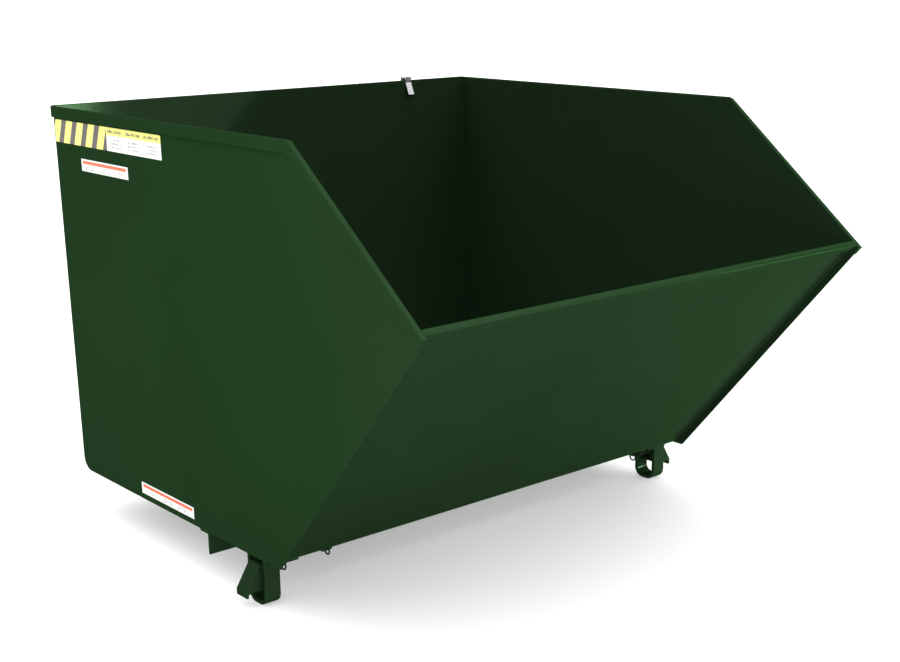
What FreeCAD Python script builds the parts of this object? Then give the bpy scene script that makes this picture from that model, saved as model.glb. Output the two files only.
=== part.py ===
import FreeCAD, Part
import math
import os

# Open-topped steel dumping hopper, welded from plate, with two hook brackets
# under its front corners. Each bracket has a U strap, a sprung latch bolt that
# slides sideways and a pull ring. Millimetres.
# +X is the hopper's right, +Y its back and +Z up. The origin is the middle of
# the bounding box at the level of the lowest point, the bottom of the straps.

V = FreeCAD.Vector

# Body
body_width = 1365.0            # over the two side plates
side_length = 1474.0           # back wall to the tip of the lip
top_length = 1053.0            # back wall to the top front corner
floor_length = 942.0           # back wall to the front bottom corner
body_height = 962.0            # floor underside to the top edge of the sides
lip_height = 632.0             # floor underside to the tip of the lip
plate = 5.0                    # thickness of every body plate
bend_radius = 35.0             # outer radius of the bends
side_overhang = 19.0           # side plates past the front plate, square to it
back_rise = 3.0                # back wall above the sides
rear_seam = 60.0               # weld seam in the floor, from the back wall
front_seam = 875.0             # weld seam in the floor, from the back wall

# Rim bars
rim_width = 25.0
rim_thick = 6.5
rim_proud = 2.0                # top bars above the plate that they stiffen
rim_setback = 6.0              # top bar ends before the top front corner
lip_bar_width = 16.0
lip_bar_thick = 10.0
lip_bar_round = 2.5

# Cross member: an angle, one leg down at its front
cross_front = 303.0            # behind the front bottom corner
cross_leg = 57.0
cross_flange = 40.0
cross_thick = 5.0

# Hook brackets, measured inward from the side and back from the front bottom corner
hook_drop = 117.0              # floor underside to the bottom of the strap
pad_inset = 17.0
pad_width = 70.0
pad_front = 52.0
pad_back = 145.0
pad_thick = 14.0
strap_inset = 3.3
strap_width = 40.0
strap_front = 66.0
strap_depth = 73.0
strap_thick = 9.5
strap_bend = 28.0              # outer radius of its two bends
bolt_reach = 39.5              # nose past the side plate
bolt_start = 4.0               # top of the sloping face, past the side plate
bolt_width = 43.0
bolt_top = -16.0               # heights below the floor underside
bolt_foot = -76.0
bolt_tooth = -88.0
bolt_tip_top = -73.0
bolt_tooth_width = 5.5
bolt_tooth_root = 12.5
bolt_tooth_heel = -81.0
bolt_inner = 12.0
shank_radius = 7.0
shank_offset = 10.0            # shank behind the middle of the bolt
shank_z = -38.0
tab_start = 73.3               # its shoulder stops at the guide
tab_end = 91.0
tab_thick = 8.0
tab_height = 15.0
tab_round = 6.0
ring_hole_radius = 3.4
ring_hole_in = 83.5
guide_in = 66.0
guide_thick = 7.0
guide_width = 30.0
guide_foot = -50.0
guide_clearance = 0.08         # on the radius
spring_radius = 10.5           # to the middle of the wire
spring_wire = 1.1
spring_end_gap = 0.1
spring_turns = 7
pull_ring_radius = 10.0        # to the middle of the wire
pull_ring_wire = 2.2

# Tie lug and its ring, left side only
lug_in = 154.0
lug_width = 33.0
lug_front = 57.0
lug_thick = 6.0
lug_drop = 17.0
lug_round = 6.0
lug_hole_in = 174.0
lug_hole_z = -10.5
lug_hole_radius = 3.5
tie_ring_radius = 8.6          # to the middle of the wire
tie_ring_wire = 2.1

# Spring clip over the back rim
clip_x = 459.0
clip_width = 20.0
clip_thick = 3.0
clip_rise = 7.0                # gap over the rim
clip_grip = 6.0                # flat part against the inside of the wall
clip_reach = 18.0              # behind the wall's outer face
clip_inner_leg = 38.0
clip_outer_leg = 30.0
clip_lean = 22.0               # degrees, inner leg away from the wall

# Labels on the left side: name, back end, front end, bottom, top
label_thick = 0.4
labels = (
    ("hazard_label", 4.0, 535.0, 876.0, 932.0),
    ("upper_notice_label", 134.5, 370.0, 815.0, 844.5),
    ("lower_notice_label", 318.5, 574.0, 15.5, 45.5),
)

same_place = 0.01              # points nearer than this are one point

# Worked-out places
overall_length = side_length + clip_reach
back_y = overall_length / 2 - clip_reach
corner_y = back_y - floor_length
inner_half = body_width / 2 - plate
front_run = side_length - floor_length
front_edge = math.hypot(front_run, lip_height)
along_y, along_z = -front_run / front_edge, lip_height / front_edge
slope_run = side_length - top_length
slope_drop = body_height - lip_height
strap_back = strap_front + strap_depth
strap_mid = (strap_front + strap_back) / 2


def at(from_back, above_floor, x=0.0):
    """A point given from the back wall's outer face and the floor's underside."""
    return V(x, back_y - from_back, hook_drop + above_floor)


def on_front(along, inward):
    """A point given along the side plates' front edge and inward from it."""
    return V(0, corner_y + along * along_y + inward * along_z,
             hook_drop + along * along_z - inward * along_y)


def slab(points, x0, x1):
    """The outline in the YZ plane, extruded from x0 to x1."""
    wire = Part.makePolygon(list(points) + [points[0]])
    face = Part.Face(wire)
    face.translate(V(x0, 0, 0))
    return face.extrude(V(x1 - x0, 0, 0))


def box(x0, x1, y0, y1, z0, z1):
    """A box between two corners, given in any order."""
    low = V(min(x0, x1), min(y0, y1), min(z0, z1))
    return Part.makeBox(abs(x1 - x0), abs(y1 - y0), abs(z1 - z0), low)


def rounded(solid, point, radius):
    """Round the edge along X that passes through the point."""
    for edge in solid.Edges:
        a, b = (v.Point for v in edge.Vertexes)
        if all(abs(p.y - point.y) + abs(p.z - point.z) < same_place for p in (a, b)):
            return solid.makeFillet(radius, [edge])
    raise ValueError("no edge there")


def edges_along_y(solid, wanted):
    """A box's edges along Y whose two ends pass the test."""
    found = []
    for edge in solid.Edges:
        a, b = (v.Point for v in edge.Vertexes)
        if abs(a.y - b.y) > same_place and wanted(a) and wanted(b):
            found.append(edge)
    return found


def torus_along_y(centre, radius, wire):
    """A ring whose plane holds Y and Z."""
    return Part.makeTorus(radius, wire, centre, V(1, 0, 0))


def export(shape, name):
    if not shape.isValid():
        raise ValueError(name + " isn't a valid solid")
    shape.exportStep("parts/" + name + ".step")
    print(name, len(shape.Solids), round(shape.Volume / 1000, 2), "cm3")


def mirrored(shape):
    """The same piece on the other side of the hopper."""
    return shape.mirror(V(0, 0, 0), V(1, 0, 0))


# Body plates

def side_plate():
    """Left side plate: flat, with the back bottom corner rounded."""
    outline = [at(0, 0), at(0, body_height), at(top_length, body_height),
               at(side_length, lip_height), at(floor_length, 0)]
    solid = slab(outline, -body_width / 2, -inner_half)
    return rounded(solid, at(0, 0), bend_radius)


def back_wall():
    """Back wall with the bend into the floor."""
    outline = [at(0, 0), at(0, body_height + back_rise), at(plate, body_height + back_rise),
               at(plate, plate), at(rear_seam, plate), at(rear_seam, 0)]
    solid = slab(outline, -inner_half, inner_half)
    solid = rounded(solid, at(0, 0), bend_radius)
    return rounded(solid, at(plate, plate), bend_radius - plate)


def floor_plate():
    """Flat floor between the two seams."""
    outline = [at(rear_seam, 0), at(rear_seam, plate), at(front_seam, plate), at(front_seam, 0)]
    return slab(outline, -inner_half, inner_half)


def front_face_at(inward, above_floor):
    """Where a line parallel to the front edge crosses a level."""
    along = (above_floor + inward * along_y) / along_z
    return on_front(along, inward)


def front_plate():
    """Sloping front plate with the bend into the floor."""
    outer, inner = side_overhang, side_overhang + plate
    outer_corner = front_face_at(outer, 0)
    inner_corner = front_face_at(inner, plate)
    outline = [at(front_seam, 0), outer_corner, on_front(front_edge, outer),
               on_front(front_edge, inner), inner_corner, at(front_seam, plate)]
    solid = slab(outline, -inner_half, inner_half)
    solid = rounded(solid, outer_corner, bend_radius)
    return rounded(solid, inner_corner, bend_radius - plate)


# Rim bars

def side_top_rim():
    """Flat bar outside the top edge of the left side plate."""
    top = body_height + rim_proud
    outline = [at(0, top), at(top_length - rim_setback, top),
               at(top_length - rim_setback, body_height - rim_width),
               at(0, body_height - rim_width)]
    return slab(outline, -body_width / 2 - rim_thick, -body_width / 2)


def side_slope_rim():
    """Flat bar outside the sloping edge, cut upright where it meets the top bar."""
    start = top_length - rim_setback
    slope = slope_drop / slope_run
    under = rim_width * math.hypot(1, slope)
    tip = on_front(front_edge, 0)
    foot_from_back = side_length - rim_width * front_run / front_edge
    foot_z = lip_height - rim_width * lip_height / front_edge
    under_start = body_height + slope * rim_setback - under
    outline = [at(start, body_height), at(top_length, body_height), tip,
               at(foot_from_back, foot_z), at(start, under_start)]
    return slab(outline, -body_width / 2 - rim_thick, -body_width / 2)


def rear_rim():
    """Flat bar outside the top edge of the back wall."""
    top = body_height + back_rise
    outline = [at(-rim_thick, top), at(0, top), at(0, body_height - rim_width),
               at(-rim_thick, body_height - rim_width)]
    return slab(outline, -body_width / 2, body_width / 2)


def front_lip_bar():
    """Square-edged bar on the outside of the front plate's top edge."""
    outer = side_overhang - lip_bar_thick
    low = front_edge - lip_bar_width
    outline = [on_front(front_edge, outer), on_front(front_edge, side_overhang),
               on_front(low, side_overhang), on_front(low, outer)]
    solid = slab(outline, -inner_half, inner_half)
    return rounded(solid, on_front(front_edge, outer), lip_bar_round)


def cross_member():
    """Angle across the underside, its standing leg at the front."""
    front = floor_length - cross_front
    outline = [at(front, 0), at(front, -cross_leg), at(front - cross_thick, -cross_leg),
               at(front - cross_thick, -cross_thick), at(front - cross_flange, -cross_thick),
               at(front - cross_flange, 0)]
    return slab(outline, -body_width / 2, body_width / 2)


# Hook bracket on the left; inward distances become +X from the side plate's outer face

def left_x(inward):
    return -body_width / 2 + inward


def hook_y(behind_corner):
    return corner_y + behind_corner


def level(below_floor):
    return hook_drop + below_floor


def leg_space(front, back, foot):
    """Room of the strap's width, from the floor down to a level."""
    return box(left_x(strap_inset), left_x(strap_inset + strap_width), hook_y(front),
               hook_y(back), level(foot), level(0))


def hook_pad():
    """Base plate under the floor, cut out where the strap's legs pass."""
    plate_body = box(left_x(pad_inset), left_x(pad_inset + pad_width), hook_y(pad_front),
                     hook_y(pad_back), level(-pad_thick), level(0))
    front_leg = leg_space(strap_front, strap_front + strap_thick, -pad_thick)
    back_leg = leg_space(strap_back - strap_thick, strap_back, -pad_thick)
    return plate_body.cut(front_leg).cut(back_leg)


def hook_strap():
    """Flat bar bent into a U, its legs one behind the other and welded to the floor."""
    low, inner_low = -hook_drop, -hook_drop + strap_thick
    front, back = strap_front + strap_thick, strap_back - strap_thick
    outside = leg_space(strap_front, strap_back, low)
    inside = leg_space(front, back, inner_low)
    for y in (strap_front, strap_back):
        outside = rounded(outside, V(0, hook_y(y), level(low)), strap_bend)
    for y in (front, back):
        inside = rounded(inside, V(0, hook_y(y), level(inner_low)), strap_bend - strap_thick)
    return outside.cut(inside)


def latch_bolt():
    """Block with a sloping, toothed nose, a round shank and a drilled tab."""
    tooth_back = bolt_tooth_width - bolt_reach
    profile = [(-bolt_start, bolt_top), (bolt_inner, bolt_top), (bolt_inner, bolt_foot),
               (bolt_tooth_root - bolt_reach, bolt_foot), (tooth_back, bolt_tooth_heel),
               (tooth_back, bolt_tooth), (-bolt_reach, bolt_tooth), (-bolt_reach, bolt_tip_top)]
    points = [V(left_x(x), hook_y(strap_mid - bolt_width / 2), level(z)) for x, z in profile]
    face = Part.Face(Part.makePolygon(points + [points[0]]))
    block = face.extrude(V(0, bolt_width, 0))
    y = hook_y(strap_mid + shank_offset)
    z = level(shank_z)
    shank = Part.makeCylinder(shank_radius, tab_start - bolt_inner,
                              V(left_x(bolt_inner), y, z), V(1, 0, 0))
    tab = box(left_x(tab_start), left_x(tab_end), y - tab_thick / 2, y + tab_thick / 2,
              z - tab_height / 2, z + tab_height / 2)
    end_edges = edges_along_y(tab, lambda p: abs(p.x - left_x(tab_end)) < same_place)
    tab = tab.makeFillet(tab_round, end_edges)
    hole = Part.makeCylinder(ring_hole_radius, 4 * tab_thick,
                             V(left_x(ring_hole_in), y - 2 * tab_thick, z), V(0, 1, 0))
    return block.fuse([shank, tab]).cut(hole).removeSplitter()


def latch_guide():
    """Plate under the pad that the shank slides through."""
    y = hook_y(strap_mid + shank_offset)
    body = box(left_x(guide_in), left_x(guide_in + guide_thick), y - guide_width / 2,
               y + guide_width / 2, level(guide_foot), level(-pad_thick))
    bore = Part.makeCylinder(shank_radius + guide_clearance, 3 * guide_thick,
                             V(left_x(guide_in - guide_thick), y, level(shank_z)), V(1, 0, 0))
    return body.cut(bore)


def latch_spring():
    """Coil spring round the shank, between the bolt and the guide."""
    end = spring_wire + spring_end_gap
    length = guide_in - bolt_inner - 2 * end
    pitch = length / spring_turns
    helix = Part.makeHelix(pitch, length, spring_radius)
    section = Part.Wire(Part.makeCircle(spring_wire, V(spring_radius, 0, 0), V(0, 1, 0)))
    coil = Part.Wire(helix.Edges).makePipeShell([section], True, True)
    coil.rotate(V(0, 0, 0), V(0, 1, 0), 90)
    coil.translate(V(left_x(bolt_inner + end), hook_y(strap_mid + shank_offset),
                     level(shank_z)))
    return coil


def pull_ring():
    """Ring through the tab's hole, hanging across the shank."""
    arc_drop = pull_ring_radius - math.sqrt(pull_ring_radius ** 2 - (tab_thick / 2) ** 2)
    centre = V(left_x(ring_hole_in), hook_y(strap_mid + shank_offset),
               level(shank_z + arc_drop / 2 - pull_ring_radius))
    return torus_along_y(centre, pull_ring_radius, pull_ring_wire)


# Small pieces

def tie_lug():
    """Small drilled plate under the floor, left side only."""
    body = box(left_x(lug_in), left_x(lug_in + lug_width), hook_y(lug_front),
               hook_y(lug_front + lug_thick), level(-lug_drop), level(0))
    hole = Part.makeCylinder(lug_hole_radius, 3 * lug_thick,
                             V(left_x(lug_hole_in), hook_y(lug_front - lug_thick),
                               level(lug_hole_z)), V(0, 1, 0))
    lower_corners = edges_along_y(body, lambda p: abs(p.z - level(-lug_drop)) < same_place)
    return body.makeFillet(lug_round, lower_corners).cut(hole)


def tie_ring():
    """Ring hanging from the lug's hole, wide enough to swing past the lug's end."""
    arc_drop = tie_ring_radius - math.sqrt(tie_ring_radius ** 2 - (lug_thick / 2) ** 2)
    centre = V(left_x(lug_hole_in), hook_y(lug_front + lug_thick / 2),
               level(lug_hole_z + arc_drop / 2 - tie_ring_radius))
    return torus_along_y(centre, tie_ring_radius, tie_ring_wire)


def rim_clip():
    """Flat strip bent over the back rim, its inner leg leaning off the wall."""
    rim_top = body_height + back_rise
    bend_z = rim_top - clip_grip
    lean = math.radians(clip_lean)
    foot = (plate + clip_inner_leg * math.sin(lean), bend_z - clip_inner_leg * math.cos(lean))
    foot_out = (foot[0] + clip_thick * math.cos(lean), foot[1] + clip_thick * math.sin(lean))
    under = rim_top + clip_rise
    over = under + clip_thick
    face = plate + clip_thick
    outer = -clip_reach + clip_thick
    outline = [at(-clip_reach, over), at(face, over), at(face, bend_z), at(*foot_out), at(*foot),
               at(plate, bend_z), at(plate, under), at(outer, under),
               at(outer, under - clip_outer_leg), at(-clip_reach, under - clip_outer_leg)]
    return slab(outline, clip_x - clip_width / 2, clip_x + clip_width / 2)


def label(back, front, low, high):
    """Thin printed sheet on the outside of the left side plate."""
    outline = [at(back, low), at(back, high), at(front, high), at(front, low)]
    return slab(outline, -body_width / 2 - label_thick, -body_width / 2)


def main():
    os.makedirs("parts", exist_ok=True)
    paired = (
        ("side_plate", side_plate()),
        ("top_rim", side_top_rim()),
        ("slope_rim", side_slope_rim()),
        ("hook_pad", hook_pad()),
        ("hook_strap", hook_strap()),
        ("latch_bolt", latch_bolt()),
        ("latch_guide", latch_guide()),
        ("latch_spring", latch_spring()),
        ("pull_ring", pull_ring()),
    )
    for name, shape in paired:
        export(shape, "left_" + name)
        export(mirrored(shape), "right_" + name)
    single = (
        ("back_wall", back_wall()),
        ("floor_plate", floor_plate()),
        ("front_plate", front_plate()),
        ("rear_rim", rear_rim()),
        ("front_lip_bar", front_lip_bar()),
        ("cross_member", cross_member()),
        ("tie_lug", tie_lug()),
        ("tie_ring", tie_ring()),
        ("rim_clip", rim_clip()),
    )
    for name, shape in single:
        export(shape, name)
    for name, back, front, low, high in labels:
        export(label(back, front, low, high), name)


main()
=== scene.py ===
# Looks of an open-topped steel dumping hopper: painted plate, weld beads, coil
# springs, printed labels, and a plain light studio. Metres, in the CAD's frame.

import math

import bpy
import bmesh
from mathutils import Matrix, Vector


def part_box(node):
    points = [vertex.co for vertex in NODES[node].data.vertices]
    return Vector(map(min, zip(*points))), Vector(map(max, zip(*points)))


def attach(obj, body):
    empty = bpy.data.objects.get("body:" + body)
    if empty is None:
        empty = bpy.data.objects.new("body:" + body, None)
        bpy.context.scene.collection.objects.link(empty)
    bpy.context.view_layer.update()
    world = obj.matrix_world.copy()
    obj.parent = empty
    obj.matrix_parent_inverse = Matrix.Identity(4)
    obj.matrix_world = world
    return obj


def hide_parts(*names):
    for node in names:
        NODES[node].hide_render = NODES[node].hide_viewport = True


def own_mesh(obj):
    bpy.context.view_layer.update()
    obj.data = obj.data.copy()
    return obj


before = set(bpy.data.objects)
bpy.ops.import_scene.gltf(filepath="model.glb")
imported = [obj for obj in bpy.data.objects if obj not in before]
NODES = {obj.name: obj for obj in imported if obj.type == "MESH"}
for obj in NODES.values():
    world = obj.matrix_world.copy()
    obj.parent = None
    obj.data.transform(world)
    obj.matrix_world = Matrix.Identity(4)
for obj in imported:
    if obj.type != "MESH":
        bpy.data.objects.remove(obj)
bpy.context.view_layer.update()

# The body's planes, read from the CAD
side_low, side_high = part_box("left_side_plate")
BACK_Y = side_high.y
FLOOR_Z = side_low.z
SIDE_X = side_low.x                     # outer face of the left side plate
PLATE = side_high.x - side_low.x
SIDE_TOP = side_high.z
INNER_X = side_high.x                   # inner face of the left side plate
LIP_Y = side_low.y                      # tip of the side plates at the lip


# Node graphs

BEVEL_SAMPLES = 6
FLAT, SHARP = 0.985, 0.80               # cosines between a face and its rounded normal


class Graph:
    """A material's nodes, added one call at a time."""

    def __init__(self, name):
        self.material = bpy.data.materials.new(name)
        self.material.use_nodes = True
        self.tree = self.material.node_tree
        self.shader = self.tree.nodes["Principled BSDF"]
        self.place = self.add("TexCoord").outputs["Object"]

    def add(self, kind, inputs=None, **settings):
        """A node. Each input is a number, a colour or another node's output."""
        node = self.tree.nodes.new("ShaderNode" + kind)
        for key, value in settings.items():
            setattr(node, key, value)
        for key, value in (inputs or {}).items():
            self.feed(node.inputs[key], value)
        return node

    def feed(self, socket, value):
        if isinstance(value, bpy.types.NodeSocket):
            self.tree.links.new(value, socket)
        else:
            socket.default_value = value

    def math(self, operation, a, b=0.0):
        return self.add("Math", {0: a, 1: b}, operation=operation).outputs[0]

    def noise(self, scale, detail, stretch=(1.0, 1.0, 1.0)):
        """Noise with so many cells in a metre, squeezed along each axis by stretch."""
        vector = self.add("VectorMath", {0: self.place, 1: stretch}, operation="MULTIPLY")
        inputs = {"Vector": vector.outputs[0], "Scale": scale, "Detail": detail}
        return self.add("TexNoise", inputs).outputs["Fac"]

    def span(self, value, low, high, to_low=0.0, to_high=1.0):
        """Value from low..high to to_low..to_high, held at the ends."""
        inputs = {"Value": value, "From Min": low, "From Max": high,
                  "To Min": to_low, "To Max": to_high}
        return self.add("MapRange", inputs, clamp=True).outputs["Result"]

    def mix(self, factor, a, b):
        node = self.add("Mix", {0: factor, 6: a, 7: b}, data_type="RGBA")
        return node.outputs[2]

    def bump(self, height, distance, normal=None):
        inputs = {"Height": height, "Distance": distance}
        if normal is not None:
            inputs["Normal"] = normal
        return self.add("Bump", inputs).outputs["Normal"]

    def edges(self, radius):
        """The rounded normal, and a mask that is 1 on sharp outer and inner edges."""
        bevel = self.add("Bevel", {"Radius": radius}, samples=BEVEL_SAMPLES).outputs["Normal"]
        flat = self.add("NewGeometry").outputs["Normal"]
        dot = self.add("VectorMath", {0: bevel, 1: flat}, operation="DOT_PRODUCT")
        return bevel, self.span(dot.outputs["Value"], FLAT, SHARP)

    def done(self, colour, roughness, normal):
        self.feed(self.shader.inputs["Base Color"], colour)
        self.feed(self.shader.inputs["Roughness"], roughness)
        self.feed(self.shader.inputs["Normal"], normal)
        return self.material


PAINT_DEEP = (0.0164, 0.0365, 0.0162, 1.0)
PAINT_LIGHT = (0.0180, 0.0400, 0.0178, 1.0)
# Lighter green on the arrises: thinner paint there, and a painted highlight along every edge
PAINT_THIN_AND_HIGHLIGHT = (0.0400, 0.1150, 0.0420, 1.0)
PRIMER = (0.0450, 0.0480, 0.0430, 1.0)
PAINT_TINT = (0.15, 0.40, 0.15, 1.0)    # of its reflections
PAINT_METALLIC = 0.28
PAINT_ROUND = 0.0016                    # radius that the paint gives to an arris
PAINT_SMOOTH, PAINT_DULL = 0.055, 0.080     # roughness, from one area to another
SCUFF_DULL = 0.05                       # added where the paint is scuffed
SHEET_WAVES = 0.0010                    # heights of the bumps
ORANGE_PEEL = 0.00005


def paint_material():
    """Sprayed semi-gloss enamel: faint orange peel, sheet waves, thin and lighter on the arrises, with a
    painted highlight along them.
    """
    g = Graph("green_paint")
    rounded, edge = g.edges(PAINT_ROUND)
    broad = g.noise(2.1, 3)
    cloud = g.noise(14.0, 4)
    peel = g.noise(430.0, 2)
    scuff = g.noise(70.0, 5, stretch=(1.0, 0.12, 1.0))
    colour = g.mix(g.span(broad, 0.36, 0.64), PAINT_DEEP, PAINT_LIGHT)
    # Thinner paint on the arrises, lightened further as a painted highlight along the edges
    thin_and_highlight = g.math("MULTIPLY", edge, g.span(cloud, 0.35, 0.65, 0.25, 0.75))
    colour = g.mix(thin_and_highlight, colour, PAINT_THIN_AND_HIGHLIGHT)
    chips = g.math("MULTIPLY", edge, g.span(scuff, 0.66, 0.70))
    colour = g.mix(chips, colour, PRIMER)
    rough = g.span(cloud, 0.30, 0.70, PAINT_SMOOTH, PAINT_DULL)
    rough = g.math("ADD", rough, g.span(scuff, 0.60, 0.80, 0.0, SCUFF_DULL))
    waves = g.bump(g.noise(3.0, 1), SHEET_WAVES, normal=rounded)
    skin = g.bump(peel, ORANGE_PEEL, normal=waves)
    g.shader.inputs["Metallic"].default_value = PAINT_METALLIC
    g.shader.inputs["Specular IOR Level"].default_value = 0.0
    g.shader.inputs["Specular Tint"].default_value = PAINT_TINT
    return g.done(colour, rough, skin)


ZINC = (0.62, 0.63, 0.64, 1.0)
# Dark oiled spring steel, darkened further as painted shade for the coils seen between the hooks' legs
SPRING_STEEL_AND_SHADE = (0.085, 0.085, 0.080, 1.0)
STEEL_METALLIC = 0.85
STEEL_ROUND = 0.0008
DULLER, BRIGHTER = 0.72, 1.25           # times the colour, in dull patches and on worn edges
DRAWN_LINES = 0.00005                   # height


def steel_material(name, colour, rough, grain):
    """Plated or bare steel with fine drawn lines."""
    g = Graph(name)
    rounded, edge = g.edges(STEEL_ROUND)
    spangle = g.noise(160.0, 3)
    lines = g.noise(900.0, 2, stretch=grain)
    dull = tuple(DULLER * c for c in colour[:3]) + (1.0,)
    base = g.mix(g.span(spangle, 0.35, 0.65), dull, colour)
    bright = tuple(min(1.0, BRIGHTER * c) for c in colour[:3]) + (1.0,)
    base = g.mix(g.math("MULTIPLY", edge, 0.5), base, bright)
    g.shader.inputs["Metallic"].default_value = STEEL_METALLIC
    roughness = g.span(spangle, 0.3, 0.7, rough - 0.07, rough + 0.08)
    return g.done(base, roughness, g.bump(lines, DRAWN_LINES, normal=rounded))


# Label printing

WHITE = (0.86, 0.86, 0.84, 1.0)
YELLOW = (0.92, 0.86, 0.20, 1.0)
CHARCOAL = (0.085, 0.070, 0.068, 1.0)
ORANGE = (0.80, 0.125, 0.035, 1.0)
GREY_INK = (0.30, 0.30, 0.31, 1.0)
GRIME = (0.42, 0.42, 0.38, 1.0)
FILM_CRINKLE = 0.0002                   # height
BEYOND = 1.0                            # past any edge of a label
SMALL_ROWS = 3                          # rows of small print in a panel
PANELS = 3


class Print:
    """Flat printing on a label on the left side: s runs forward from its back end, h up, metres."""

    def __init__(self, node):
        low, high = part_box(node)
        self.length = high.y - low.y
        self.height = high.z - low.z
        self.graph = Graph(node + "_print")
        x, y, z = self.graph.add("SeparateXYZ", {0: self.graph.place}).outputs
        self.s = self.graph.math("SUBTRACT", high.y, y)
        self.h = self.graph.math("SUBTRACT", z, low.z)
        self.speckle = self.graph.noise(330.0, 1)
        self.colour = WHITE

    def between(self, value, low, high):
        above = self.graph.math("GREATER_THAN", value, low)
        below = self.graph.math("LESS_THAN", value, high)
        return self.graph.math("MULTIPLY", above, below)

    def area(self, s0, s1, h0, h1):
        along = self.between(self.s, s0, s1)
        return self.graph.math("MULTIPLY", along, self.between(self.h, h0, h1))

    def fill(self, mask, colour):
        self.colour = self.graph.mix(mask, self.colour, colour)

    def box(self, s0, s1, h0, h1, colour):
        self.fill(self.area(s0, s1, h0, h1), colour)

    def words(self, s0, s1, h0, h1, colour, fill=0.5):
        """A row of small broken marks, standing for a printed line."""
        speckle = self.graph.math("LESS_THAN", self.speckle, fill)
        self.fill(self.graph.math("MULTIPLY", self.area(s0, s1, h0, h1), speckle), colour)

    def lines(self, s0, s1, h_low, h_high):
        """Grey rows of uneven length, standing for small print."""
        pitch = (h_high - h_low) / SMALL_ROWS
        half = 0.28 * pitch
        for i in range(SMALL_ROWS):
            middle = h_low + pitch * (i + 0.5)
            trim = (s1 - s0) * (0.06 + 0.05 * i)
            self.words(s0 + trim, s1 - trim, middle - half, middle + half, GREY_INK)

    def done(self):
        g = self.graph
        grime = g.noise(45.0, 5)
        soft = g.mix(g.span(grime, 0.50, 0.80, 0.0, 0.12), self.colour, GRIME)
        rough = g.span(grime, 0.3, 0.7, 0.26, 0.40)
        crinkle = g.bump(g.noise(28.0, 2), FILM_CRINKLE)
        g.shader.inputs["Specular IOR Level"].default_value = 0.3
        return g.done(soft, rough, crinkle)


def hazard_print():
    """Slanted stripes on the back half, three panels under a yellow band on the front half."""
    p = Print("hazard_label")
    g = p.graph
    period = 0.0583                     # from one dark stripe to the next
    dark = 0.0255                       # width of a dark stripe
    lean = 0.0235                       # how far a stripe leans from bottom to top
    first = 0.0166                      # start of the first dark stripe
    split = 0.272                       # end of the stripes
    band = 0.037                        # bottom of the yellow band
    leaning = g.math("MULTIPLY", p.h, lean / p.height)
    shifted = g.math("SUBTRACT", g.math("ADD", p.s, -first), leaning)
    phase = g.math("FRACT", g.math("DIVIDE", shifted, period))
    p.box(-BEYOND, split, -BEYOND, BEYOND, YELLOW)
    stripes = g.math("LESS_THAN", phase, dark / period)
    p.fill(g.math("MULTIPLY", stripes, g.math("LESS_THAN", p.s, split)), CHARCOAL)
    p.box(split, BEYOND, band, BEYOND, YELLOW)
    margin = 0.010
    heading_low, heading_high = band + 0.006, band + 0.0125
    heading_fill = 0.52
    rule = 0.0006                       # half the width of the rule between panels
    width = (p.length - split) / PANELS
    for i in range(PANELS):
        s0 = split + i * width
        p.words(s0 + 0.008, s0 + width - margin, heading_low, heading_high, CHARCOAL, heading_fill)
        p.lines(s0 + margin, s0 + width - margin, 0.006, band - 0.006)
        if i:
            p.box(s0 - rule, s0 + rule, 0.004, band - 0.003, GREY_INK)
    return p.done()


def notice_print(node):
    """White, with an orange band across the top and small print under it."""
    p = Print(node)
    margin = 0.0075
    band_low, band_top = 0.0178, p.height - 0.0040
    p.box(margin, p.length - margin, band_low, band_top, ORANGE)
    width = (p.length - 2 * margin) / PANELS
    for i in range(PANELS):
        s0 = margin + i * width
        p.lines(s0 + 0.003, s0 + width - 0.006, 0.003, band_low - 0.002)
    return p.done()


# Pieces

def mesh_piece(name, shells, material, body):
    """One piece made of closed shells, each a list of points and a list of faces."""
    points, faces = [], []
    for shell_points, shell_faces in shells:
        base = len(points)
        points.extend(shell_points)
        faces.extend(tuple(base + k for k in face) for face in shell_faces)
    mesh = bpy.data.meshes.new(name)
    mesh.from_pydata(points, [], faces)
    bm = bmesh.new()
    bm.from_mesh(mesh)
    bmesh.ops.recalc_face_normals(bm, faces=bm.faces)
    bm.to_mesh(mesh)
    bm.free()
    mesh.shade_smooth()
    piece = bpy.data.objects.new(name, mesh)
    bpy.context.scene.collection.objects.link(piece)
    piece.data.materials.append(material)
    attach(piece, body)
    return piece


def ring_faces(rings, around):
    """Quads between rings of points, with one face on each end."""
    faces = []
    for i in range(rings - 1):
        for j in range(around):
            k = (j + 1) % around
            near, far = i * around, (i + 1) * around
            faces.append((near + j, near + k, far + k, far + j))
    faces.append(tuple(range(around)))
    faces.append(tuple((rings - 1) * around + j for j in reversed(range(around))))
    return faces


# Weld beads. A path is a list of stations: a point, and the two directions square to the path in
# which the bead spreads from it

RIPPLE = 0.0045                          # length of one ripple along a bead
STEPS = 4                                # rings of points in a ripple
FILLET = ((1.0, -0.12), (0.82, 0.30), (0.56, 0.56), (0.30, 0.82), (-0.12, 1.0), (-0.12, -0.12))
BUTT = ((1.0, -0.12), (0.60, 0.24), (0.0, 0.36), (-0.60, 0.24), (-1.0, -0.12))
MEAN_SIZE, CREST, WANDER = 0.93, 0.10, 0.035    # parts of a leg
END_SIZE, END_GROWTH = 0.45, 0.12       # at a bead's ends, and from one ring to the next

SEAM_LEG = 0.0032                       # legs of the beads
FRONT_LEG = 0.0030
RIM_LEG = 0.0028
FLOOR_HALF = 0.0045                     # half the width of a butt bead
CROSS_LEG = 0.0040
PAD_LEG = 0.0045
GUIDE_LEG = 0.0035
LUG_LEG = 0.0030
RIM_STITCH, RIM_PITCH = 0.030, 0.170    # length and spacing of the stitches
CROSS_STITCH, CROSS_PITCH = 0.050, 0.190
SHORT = 0.001                           # a bead stops this far from the end of its joint


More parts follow.
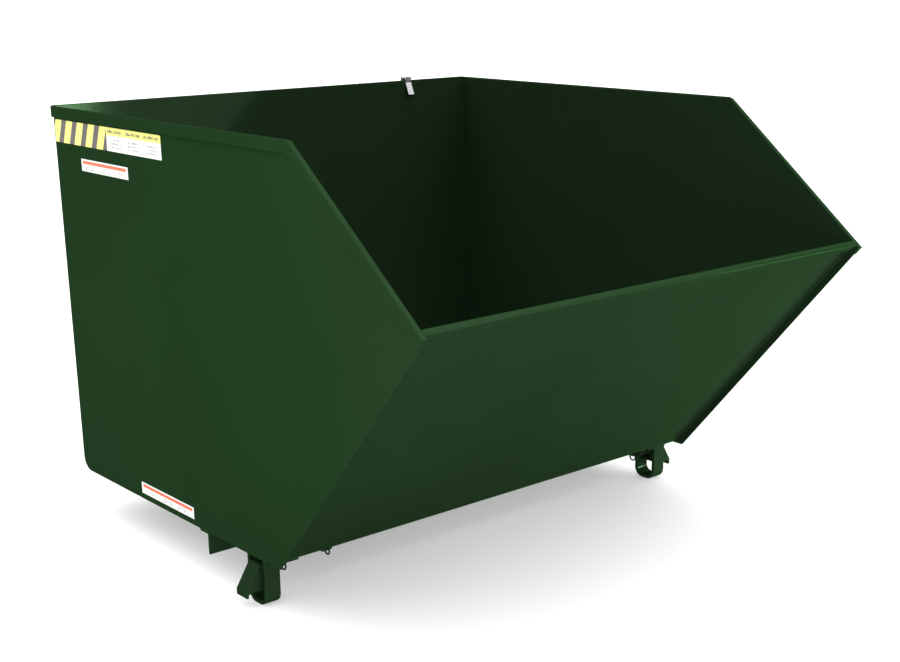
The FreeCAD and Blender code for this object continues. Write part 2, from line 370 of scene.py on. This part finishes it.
def along(path, step):
    """Stations a step apart on a path."""
    stations = []
    for (p, u, v), (q, u_next, v_next) in zip(path, path[1:]):
        count = max(1, round((q - p).length / step))
        for i in range(count):
            t = i / count
            stations.append((p.lerp(q, t), u.lerp(u_next, t), v.lerp(v_next, t)))
    stations.append(path[-1])
    return stations


def bead(path, leg, section=FILLET):
    """A rippled bead along the path, thinner at its two ends."""
    stations = along(path, RIPPLE / STEPS)
    points = []
    for i, (p, u, v) in enumerate(stations):
        crest = abs((i % STEPS) / STEPS - 0.5) * 2
        wander = math.sin(i * 0.173) + math.sin(i * 0.071 + 1.3)
        ends = min(1.0, END_SIZE + END_GROWTH * min(i, len(stations) - 1 - i))
        size = leg * ends * (MEAN_SIZE + CREST * crest + WANDER * wander)
        points.extend(p + u * (a * size) + v * (b * size) for a, b in section)
    return points, ring_faces(len(stations), len(section))


def straight(start, end, u, v):
    return [(Vector(start), Vector(u), Vector(v)), (Vector(end), Vector(u), Vector(v))]


def stitches(start, end, u, v, leg, length, pitch):
    """Short beads spaced along a straight joint."""
    start, end = Vector(start), Vector(end)
    total = (end - start).length
    forward = (end - start) / total
    count = max(1, int((total - length) / pitch) + 1)
    first = (total - (count - 1) * pitch - length) / 2
    shells = []
    for i in range(count):
        a = start + forward * (first + i * pitch)
        shells.append(bead(straight(a, a + forward * length, u, v), leg))
    return shells


BACK = Vector((0.0, 1.0, 0.0))
FRONT = Vector((0.0, -1.0, 0.0))
UP = Vector((0.0, 0.0, 1.0))
DOWN = Vector((0.0, 0.0, -1.0))
LEFT = Vector((-1.0, 0.0, 0.0))
RIGHT = Vector((1.0, 0.0, 0.0))

FLOOR_LENGTH = 0.942                    # back wall to the front bottom corner
LIP_HEIGHT = 0.632                      # floor underside to the tip of the lip
OVERHANG = 0.019                        # side plates past the front plate
INNER_BEND = 0.030                      # inner radius of the two bends
BEND_TURNS = 8                          # steps round each bend
CORNER_Y = BACK_Y - FLOOR_LENGTH
LIP_Z = FLOOR_Z + LIP_HEIGHT
SLOPE = Vector((0.0, LIP_Y - CORNER_Y, LIP_Z - FLOOR_Z)).normalized()
SLOPE_IN = Vector((0.0, SLOPE.z, -SLOPE.y))     # square to the slope, into the hopper


def slope_point(inward, z):
    """Where a line parallel to the side plates' front edge, set in by so much, crosses a height."""
    base = Vector((0.0, CORNER_Y, FLOOR_Z)) + SLOPE_IN * inward
    return base + SLOPE * ((z - base.z) / SLOPE.z)


def slope_end(inward, short):
    """Near the upper end of such a line, the given distance before the tip."""
    return Vector((0.0, LIP_Y, LIP_Z)) + SLOPE_IN * inward - SLOPE * short


def inner_seam():
    """Down the back wall, round the bend, along the floor, round and up the front plate."""
    wall_y, floor_z = BACK_Y - PLATE, FLOOR_Z + PLATE
    below_top, before_tip = 0.010, 0.004
    path = [(Vector((0, wall_y, SIDE_TOP - below_top)), FRONT),
            (Vector((0, wall_y, floor_z + INNER_BEND)), FRONT)]
    centre = Vector((0, wall_y - INNER_BEND, floor_z + INNER_BEND))
    for i in range(1, BEND_TURNS):
        angle = math.pi / 2 * i / BEND_TURNS
        normal = Vector((0, -math.cos(angle), math.sin(angle)))
        path.append((centre - normal * INNER_BEND, normal))
    path.append((Vector((0, wall_y - INNER_BEND, floor_z)), UP))
    corner = slope_point(OVERHANG + PLATE, floor_z)
    turn = math.atan2(SLOPE.z, -SLOPE.y)
    reach = INNER_BEND * math.tan(turn / 2)
    centre = corner + Vector((0, reach, INNER_BEND))
    for i in range(BEND_TURNS + 1):
        angle = turn * i / BEND_TURNS
        normal = Vector((0, math.sin(angle), math.cos(angle)))
        path.append((centre - normal * INNER_BEND, normal))
    path.append((slope_end(OVERHANG + PLATE, before_tip), SLOPE_IN))
    return path


def mirrored(shells):
    return [([Vector((-p.x, p.y, p.z)) for p in points], faces) for points, faces in shells]


def both_sides(name, shells, material):
    """The beads of the left side as one piece, and their mirror image as another."""
    mesh_piece("left_" + name, shells, material, "hopper")
    mesh_piece("right_" + name, mirrored(shells), material, "hopper")


def body_welds(material):
    seam = [(p + Vector((INNER_X, 0, 0)), RIGHT, normal) for p, normal in inner_seam()]
    both_sides("inner_seam_weld", [bead(seam, SEAM_LEG)], material)

    past_bend, under_lip_bar = 0.030, 0.018
    edge = Vector((INNER_X, 0, 0))
    low = slope_point(OVERHANG, FLOOR_Z) + SLOPE * past_bend + edge
    high = slope_end(OVERHANG, under_lip_bar) + edge
    both_sides("front_seam_weld", [bead(straight(low, high, RIGHT, -SLOPE_IN), FRONT_LEG)], material)

    rim_low, rim_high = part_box("left_top_rim")
    end_gap = 0.015
    back = (SIDE_X, rim_high.y - end_gap, rim_low.z)
    front = (SIDE_X, rim_low.y + end_gap, rim_low.z)
    shells = stitches(back, front, LEFT, DOWN, RIM_LEG, RIM_STITCH, RIM_PITCH)
    both_sides("rim_stitches", shells, material)

    rear_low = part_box("rear_rim")[0]
    end_gap = 0.02
    left = (rear_low.x + end_gap, BACK_Y, rear_low.z)
    right = (-rear_low.x - end_gap, BACK_Y, rear_low.z)
    shells = stitches(left, right, BACK, DOWN, RIM_LEG, RIM_STITCH, RIM_PITCH)
    mesh_piece("rear_rim_stitches", shells, material, "hopper")

    shells = []
    end_gap = 0.002
    flat_low, flat_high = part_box("floor_plate")
    for y in (flat_low.y, flat_high.y):
        for z, out in ((flat_low.z, DOWN), (flat_high.z, UP)):
            path = straight((INNER_X + end_gap, y, z), (-INNER_X - end_gap, y, z), BACK, out)
            shells.append(bead(path, FLOOR_HALF, BUTT))
    mesh_piece("floor_seam_welds", shells, material, "hopper")

    low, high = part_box("cross_member")
    shells = []
    for y, out, end_gap in ((low.y, FRONT, 0.01), (high.y, BACK, 0.06)):
        left = (low.x + end_gap, y, high.z)
        right = (high.x - end_gap, y, high.z)
        shells += stitches(left, right, out, DOWN, CROSS_LEG, CROSS_STITCH, CROSS_PITCH)
    mesh_piece("cross_member_stitches", shells, material, "hopper")


def underside_bead(start, end, out, leg):
    """Bead under a plate, beside a face that looks outward."""
    return bead(straight(start, end, out, DOWN), leg)


def hook_welds(material):
    low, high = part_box("left_hook_pad")
    strap_low, strap_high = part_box("left_hook_strap")
    shells = [
        underside_bead((low.x + SHORT, low.y, high.z), (high.x - SHORT, low.y, high.z), FRONT, PAD_LEG),
        underside_bead((high.x, low.y + SHORT, high.z), (high.x, high.y - SHORT, high.z), RIGHT, PAD_LEG),
        underside_bead((high.x - SHORT, high.y, high.z), (low.x + SHORT, high.y, high.z), BACK, PAD_LEG),
    ]
    for y, out in ((strap_low.y, FRONT), (strap_high.y, BACK)):
        beside_pad = (strap_low.x + SHORT, y, high.z), (low.x - SHORT, y, high.z)
        on_pad = (low.x + SHORT, y, low.z), (strap_high.x - SHORT, y, low.z)
        shells.append(underside_bead(*beside_pad, out, PAD_LEG))
        shells.append(underside_bead(*on_pad, out, PAD_LEG))
    guide_low, guide_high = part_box("left_latch_guide")
    for x, out in ((guide_low.x, LEFT), (guide_high.x, RIGHT)):
        start = (x, guide_low.y + SHORT, low.z)
        end = (x, guide_high.y - SHORT, low.z)
        shells.append(underside_bead(start, end, out, GUIDE_LEG))
    both_sides("hook_welds", shells, material)

    low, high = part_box("tie_lug")
    shells = []
    for y, out in ((low.y, FRONT), (high.y, BACK)):
        start = (low.x + SHORT, y, high.z)
        end = (high.x - SHORT, y, high.z)
        shells.append(underside_bead(start, end, out, LUG_LEG))
    mesh_piece("tie_lug_welds", shells, material, "hopper")


# Springs

WIRE = 0.0011                           # radius of the spring wire
SPRING_TURNS = 7
TURN_STEPS = 28
WIRE_STEPS = 10
CLOSED_PITCH = 2.05                     # of a closed end turn, in wire radii


def coil_spring(side, material):
    """Coil spring with a closed turn at each end, in place of the plain helix."""
    low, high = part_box(side + "_latch_spring")
    middle = (low + high) / 2
    radius = (high.z - low.z) / 2 - WIRE
    closed = CLOSED_PITCH * WIRE
    length = high.x - low.x - 2 * WIRE
    open_pitch = (length - 2 * closed) / (SPRING_TURNS - 2)
    points = []
    rings = SPRING_TURNS * TURN_STEPS + 1
    for i in range(rings):
        turn = i / TURN_STEPS
        open_turns = min(max(turn - 1.0, 0.0), SPRING_TURNS - 2.0)
        x = low.x + WIRE + closed * (turn - open_turns) + open_pitch * open_turns
        angle = 2 * math.pi * turn
        outward = Vector((0.0, math.cos(angle), math.sin(angle)))
        centre = Vector((x, middle.y, middle.z)) + outward * radius
        for j in range(WIRE_STEPS):
            around = 2 * math.pi * j / WIRE_STEPS
            across, along_x = WIRE * math.cos(around), WIRE * math.sin(around)
            points.append(centre + outward * across + RIGHT * along_x)
    shell = (points, ring_faces(rings, WIRE_STEPS))
    piece = mesh_piece(side + "_coil_spring", [shell], material, "hopper")
    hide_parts(side + "_latch_spring")
    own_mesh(piece)


# Camera, light and floor

YAW, PITCH, ROLL = 40.099, 18.049, -0.508       # degrees: from +Y to the right, down, level
BESIDE, BEFORE, ABOVE = 1.65847, 3.51157, 1.29296   # from the left side, the back and the floor
LENS, SENSOR = 58.329, 36.0             # millimetres
SHIFT_UP = 0.1211
FAR_CLIP = 1000.0

FLOOR_RADIUS = 400.0
FLOOR_TONES = (0.62, 0.62, 0.62, 1.0), (0.66, 0.66, 0.66, 1.0)
FLOOR_GLOW = 0.40
SKY = {"From Min": 0.18, "From Max": 0.75, "To Min": 0.06, "To Max": 2.60}  # strength by height
PURE_WHITE = (1.0, 1.0, 1.0, 1.0)


def look_camera():
    """Camera in front of the hopper on its left, a little above the rim."""
    yaw, pitch, roll = math.radians(YAW), math.radians(PITCH), math.radians(ROLL)
    forward = Vector((math.sin(yaw) * math.cos(pitch), math.cos(yaw) * math.cos(pitch),
                      -math.sin(pitch)))
    level = Vector((math.cos(yaw), -math.sin(yaw), 0.0))
    upright = level.cross(forward)
    right = level * math.cos(roll) + upright * math.sin(roll)
    up = upright * math.cos(roll) - level * math.sin(roll)
    data = bpy.data.cameras.new("camera")
    data.sensor_width = SENSOR
    data.lens = LENS
    data.shift_y = SHIFT_UP
    data.clip_end = FAR_CLIP
    camera = bpy.data.objects.new("camera", data)
    turn = Matrix((right, up, -forward)).transposed().to_4x4()
    place = Vector((SIDE_X - BESIDE, BACK_Y - BEFORE, FLOOR_Z + ABOVE))
    camera.matrix_world = Matrix.Translation(place) @ turn
    bpy.context.scene.collection.objects.link(camera)
    bpy.context.scene.camera = camera


def area_light(name, place, target, size, power, gloss_only=False):
    """Soft light; one that is gloss only shows in reflections and lights nothing else."""
    data = bpy.data.lights.new(name, "AREA")
    data.shape = "RECTANGLE"
    data.size, data.size_y = size
    data.energy = power
    light = bpy.data.objects.new(name, data)
    light.location = place
    light.visible_diffuse = not gloss_only
    light.rotation_euler = (Vector(target) - Vector(place)).to_track_quat("-Z", "Y").to_euler()
    bpy.context.scene.collection.objects.link(light)


def studio():
    """A pale floor, a sky that is bright overhead and dim low down, and soft lights."""
    bpy.ops.mesh.primitive_circle_add(vertices=96, radius=FLOOR_RADIUS, fill_type="NGON")
    floor = bpy.context.object
    floor.name = "floor"
    g = Graph("pale_floor")
    tone = g.mix(g.noise(0.8, 3), *FLOOR_TONES)
    g.shader.inputs["Emission Color"].default_value = PURE_WHITE
    g.shader.inputs["Emission Strength"].default_value = FLOOR_GLOW
    g.shader.inputs["Specular IOR Level"].default_value = 0.0
    floor.data.materials.append(g.done(tone, 0.9, g.bump(g.noise(60.0, 2), 0.0001)))

    world = bpy.data.worlds.new("studio")
    bpy.context.scene.world = world
    world.use_nodes = True
    tree = world.node_tree
    direction = tree.nodes.new("ShaderNodeTexCoord").outputs["Generated"]
    split = tree.nodes.new("ShaderNodeSeparateXYZ")
    tree.links.new(direction, split.inputs[0])
    ramp = tree.nodes.new("ShaderNodeMapRange")
    tree.links.new(split.outputs["Z"], ramp.inputs["Value"])
    for key, value in SKY.items():
        ramp.inputs[key].default_value = value
    tree.links.new(ramp.outputs["Result"], tree.nodes["Background"].inputs["Strength"])
    tree.nodes["Background"].inputs["Color"].default_value = PURE_WHITE

    area_light("front_box", place=(1.64, -4.2, 0.60), target=(-0.5, 0.7, 1.05),
               size=(0.40, 1.0), power=34.0, gloss_only=True)
    area_light("low_box", place=(2.2, -2.0, 0.30), target=(0.55, -0.5, 0.6),
               size=(0.6, 0.4), power=40.0)
    bpy.context.scene.view_settings.view_transform = "Standard"
    bpy.context.scene.view_settings.look = "None"


def clothe(material, *names):
    """Give CAD nodes a material in place of their own."""
    for name in names:
        NODES[name].data.materials.clear()
        NODES[name].data.materials.append(material)


look_camera()
studio()
paint = paint_material()
zinc = steel_material("zinc_plate", ZINC, rough=0.38, grain=(1.0, 1.0, 0.05))
wire = steel_material("spring_wire", SPRING_STEEL_AND_SHADE, rough=0.36, grain=(0.05, 1.0, 1.0))
clothe(paint, *NODES)
body_welds(paint)
hook_welds(paint)
for side in ("left", "right"):
    coil_spring(side, wire)
clothe(zinc, "rim_clip")
clothe(hazard_print(), "hazard_label")
for notice in ("upper_notice_label", "lower_notice_label"):
    clothe(notice_print(notice), notice)
